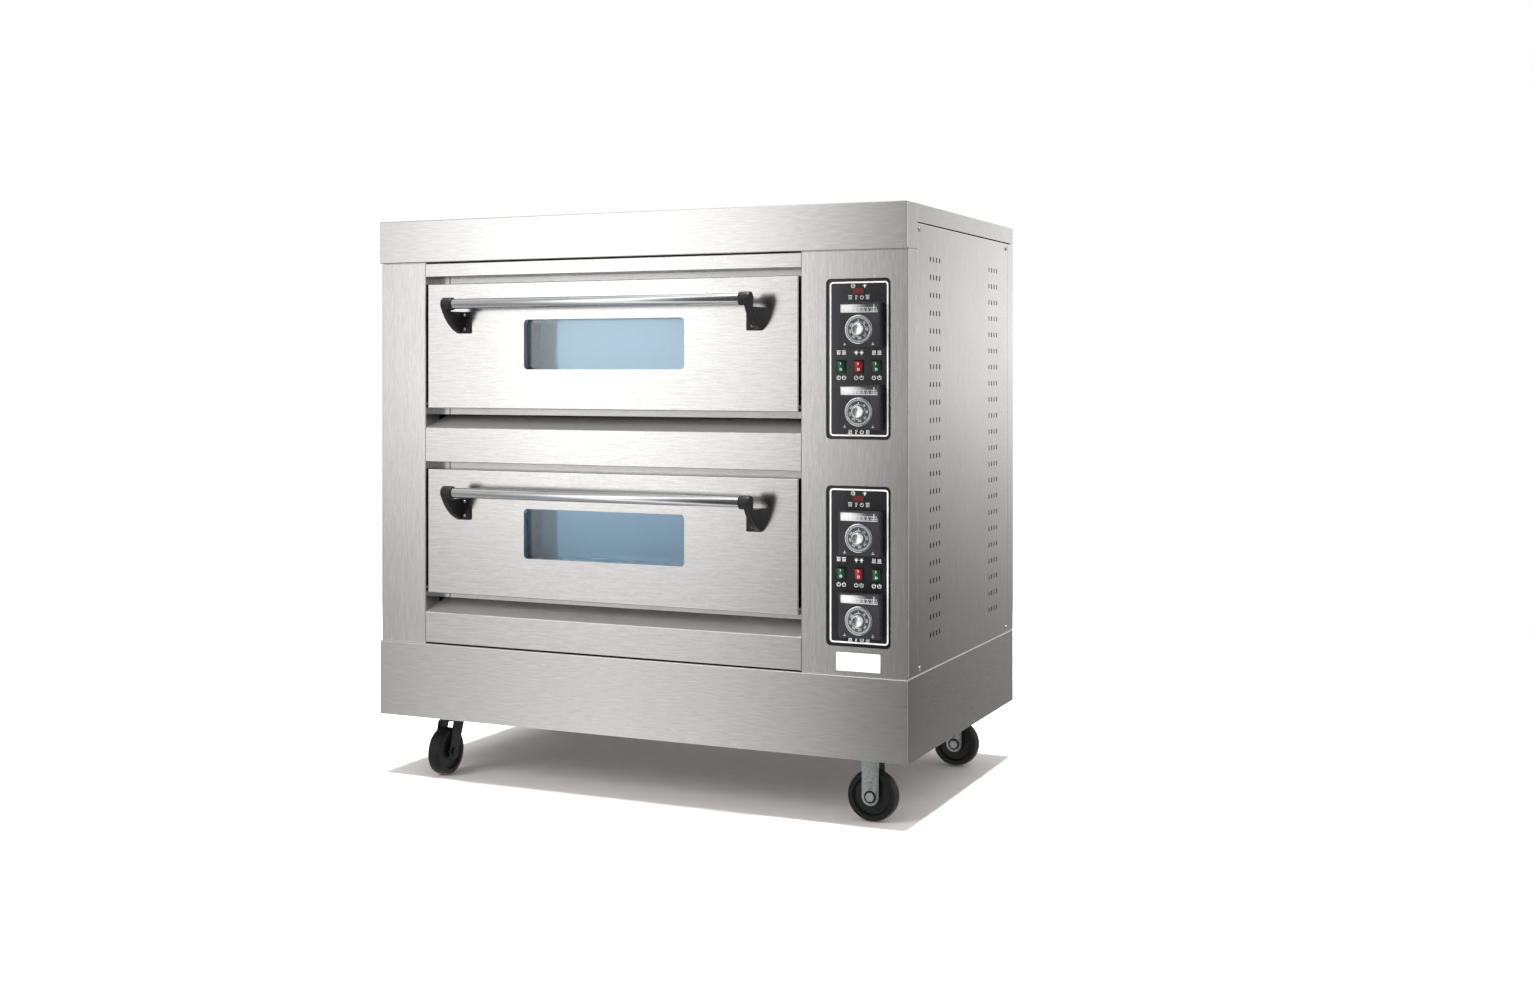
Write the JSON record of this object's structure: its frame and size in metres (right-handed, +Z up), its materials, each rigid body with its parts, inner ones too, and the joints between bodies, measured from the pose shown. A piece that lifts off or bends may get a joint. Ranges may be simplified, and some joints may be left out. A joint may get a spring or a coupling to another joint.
{
  "type": "deck oven",
  "caption": "Stacked-deck electric bakery oven on castors, with drop-down windowed doors, a side column of dials and rockers, and heated chambers with hearth plates.",
  "frame": {"origin": "on the floor, under the middle of the oven's overall box", "axes": "+X to the right as seen from the front, where the controls are; +Y to the back; +Z up"},
  "size_m": [1.224, 0.8428, 1.214],
  "materials": {
    "stainless": "satin",
    "liner_steel": "satin",
    "hearth": "matte",
    "chassis_paint": "matte",
    "insulation": "matte",
    "glass": "gloss",
    "element_sheath": "matte",
    "lamp_glass": "satin",
    "black_plastic": "satin",
    "control_black": "gloss",
    "device_plastic": "matte",
    "dial": "satin",
    "rocker_green": "gloss",
    "rocker_red": "gloss",
    "pilot_red": "gloss",
    "zinc": "satin",
    "fork_grey": "satin",
    "fork_black": "satin",
    "tyre": "matte"
  },
  "bodies": {
    "oven": {"chassis": "chassis_paint", "front_skirt": "stainless", "rear_skirt": "stainless", "front_fascia": "stainless", "top_cover": "stainless", "left_column": "stainless", "control_column": "stainless", "right_corner_post": "stainless", "left_side_panel": "stainless", "right_side_panel": "stainless", "rear_panel": "stainless", "top_rail": "stainless", "middle_rail": "stainless", "bottom_rail": "stainless", "panel_screws": "zinc", "cable_gland": "black_plastic", "electrics_partition": "liner_steel", "contactors": "device_plastic", "chamber_frames": "liner_steel", "chamber_liners": "liner_steel", "chamber_insulation": "insulation", "hearth_plates": "hearth", "heating_elements": "element_sheath", "temperature_probes": "element_sheath", "chamber_lamps": "lamp_glass", "door_hinge_pins": "zinc", "control_plates": "control_black", "controller_housings": "black_plastic", "pilot_lamps": "pilot_red", "switch_bezels": "black_plastic", "rigid_castor_forks": "fork_grey", "swivel_castor_plates": "zinc"},
    "lower_door": {"lower_door_skin": "stainless", "lower_door_inner_panel": "liner_steel", "lower_door_panes": "glass", "lower_door_insulation": "insulation", "lower_handle_bar": "stainless", "lower_handle_brackets": "black_plastic"},
    "upper_door": {"upper_door_skin": "stainless", "upper_door_inner_panel": "liner_steel", "upper_door_panes": "glass", "upper_door_insulation": "insulation", "upper_handle_bar": "stainless", "upper_handle_brackets": "black_plastic"},
    "lower_top_heat_dial": {"lower_top_heat_dial": "dial"},
    "lower_bottom_heat_dial": {"lower_bottom_heat_dial": "dial"},
    "upper_top_heat_dial": {"upper_top_heat_dial": "dial"},
    "upper_bottom_heat_dial": {"upper_bottom_heat_dial": "dial"},
    "lower_top_heat_rocker": {"lower_top_heat_rocker": "rocker_green"},
    "lower_lamp_rocker": {"lower_lamp_rocker": "rocker_red"},
    "lower_bottom_heat_rocker": {"lower_bottom_heat_rocker": "rocker_green"},
    "upper_top_heat_rocker": {"upper_top_heat_rocker": "rocker_green"},
    "upper_lamp_rocker": {"upper_lamp_rocker": "rocker_red"},
    "upper_bottom_heat_rocker": {"upper_bottom_heat_rocker": "rocker_green"},
    "front_left_swivel": {"front_left_castor_fork": "fork_black"},
    "front_left_wheel": {"front_left_wheel": "tyre"},
    "rear_left_swivel": {"rear_left_castor_fork": "fork_black"},
    "rear_left_wheel": {"rear_left_wheel": "tyre"},
    "front_right_wheel": {"front_right_wheel": "tyre"},
    "rear_right_wheel": {"rear_right_wheel": "tyre"}
  },
  "joints": [
    {"name": "lower_door_hinge", "type": "hinge", "parent": "oven", "child": "lower_door", "pos_m": [0, -0.33663, 0.4126], "axis": [1, 0, 0], "range_deg": [0, 90]},
    {"name": "upper_door_hinge", "type": "hinge", "parent": "oven", "child": "upper_door", "pos_m": [0, -0.33663, 0.8146], "axis": [1, 0, 0], "range_deg": [0, 90]},
    {"name": "lower_top_heat_dial_turn", "type": "hinge", "parent": "oven", "child": "lower_top_heat_dial", "pos_m": [0.5141, -0.34613, 0.5618], "axis": [0, 1, 0], "range_deg": [0, 300]},
    {"name": "lower_bottom_heat_dial_turn", "type": "hinge", "parent": "oven", "child": "lower_bottom_heat_dial", "pos_m": [0.5141, -0.34613, 0.4018], "axis": [0, 1, 0], "range_deg": [0, 300]},
    {"name": "upper_top_heat_dial_turn", "type": "hinge", "parent": "oven", "child": "upper_top_heat_dial", "pos_m": [0.5141, -0.34613, 0.9663], "axis": [0, 1, 0], "range_deg": [0, 300]},
    {"name": "upper_bottom_heat_dial_turn", "type": "hinge", "parent": "oven", "child": "upper_bottom_heat_dial", "pos_m": [0.5141, -0.34613, 0.8063], "axis": [0, 1, 0], "range_deg": [0, 300]},
    {"name": "lower_top_heat_rocker_tilt", "type": "hinge", "parent": "oven", "child": "lower_top_heat_rocker", "pos_m": [0.4701, -0.34613, 0.4901], "axis": [1, 0, 0], "range_deg": [-16, 0]},
    {"name": "lower_lamp_rocker_tilt", "type": "hinge", "parent": "oven", "child": "lower_lamp_rocker", "pos_m": [0.5066, -0.34613, 0.4901], "axis": [1, 0, 0], "range_deg": [-16, 0]},
    {"name": "lower_bottom_heat_rocker_tilt", "type": "hinge", "parent": "oven", "child": "lower_bottom_heat_rocker", "pos_m": [0.5431, -0.34613, 0.4901], "axis": [1, 0, 0], "range_deg": [-16, 0]},
    {"name": "upper_top_heat_rocker_tilt", "type": "hinge", "parent": "oven", "child": "upper_top_heat_rocker", "pos_m": [0.4701, -0.34613, 0.8946], "axis": [1, 0, 0], "range_deg": [-16, 0]},
    {"name": "upper_lamp_rocker_tilt", "type": "hinge", "parent": "oven", "child": "upper_lamp_rocker", "pos_m": [0.5066, -0.34613, 0.8946], "axis": [1, 0, 0], "range_deg": [-16, 0]},
    {"name": "upper_bottom_heat_rocker_tilt", "type": "hinge", "parent": "oven", "child": "upper_bottom_heat_rocker", "pos_m": [0.5431, -0.34613, 0.8946], "axis": [1, 0, 0], "range_deg": [-16, 0]},
    {"name": "front_left_swivel_turn", "type": "hinge", "parent": "oven", "child": "front_left_swivel", "pos_m": [-0.47, -0.28663, 0.131], "axis": [0, 0, 1], "continuous": true},
    {"name": "front_left_wheel_spin", "type": "hinge", "parent": "front_left_swivel", "child": "front_left_wheel", "pos_m": [-0.47, -0.30862, 0.051], "axis": [1, 0, 0], "continuous": true},
    {"name": "rear_left_swivel_turn", "type": "hinge", "parent": "oven", "child": "rear_left_swivel", "pos_m": [-0.47, 0.26538, 0.131], "axis": [0, 0, 1], "continuous": true},
    {"name": "rear_left_wheel_spin", "type": "hinge", "parent": "rear_left_swivel", "child": "rear_left_wheel", "pos_m": [-0.47, 0.24338, 0.051], "axis": [1, 0, 0], "continuous": true},
    {"name": "front_right_wheel_spin", "type": "hinge", "parent": "oven", "child": "front_right_wheel", "pos_m": [0.52, -0.29862, 0.051], "axis": [0, 1, 0], "continuous": true},
    {"name": "rear_right_wheel_spin", "type": "hinge", "parent": "oven", "child": "rear_right_wheel", "pos_m": [0.52, 0.25338, 0.051], "axis": [0, 1, 0], "continuous": true}
  ]
}
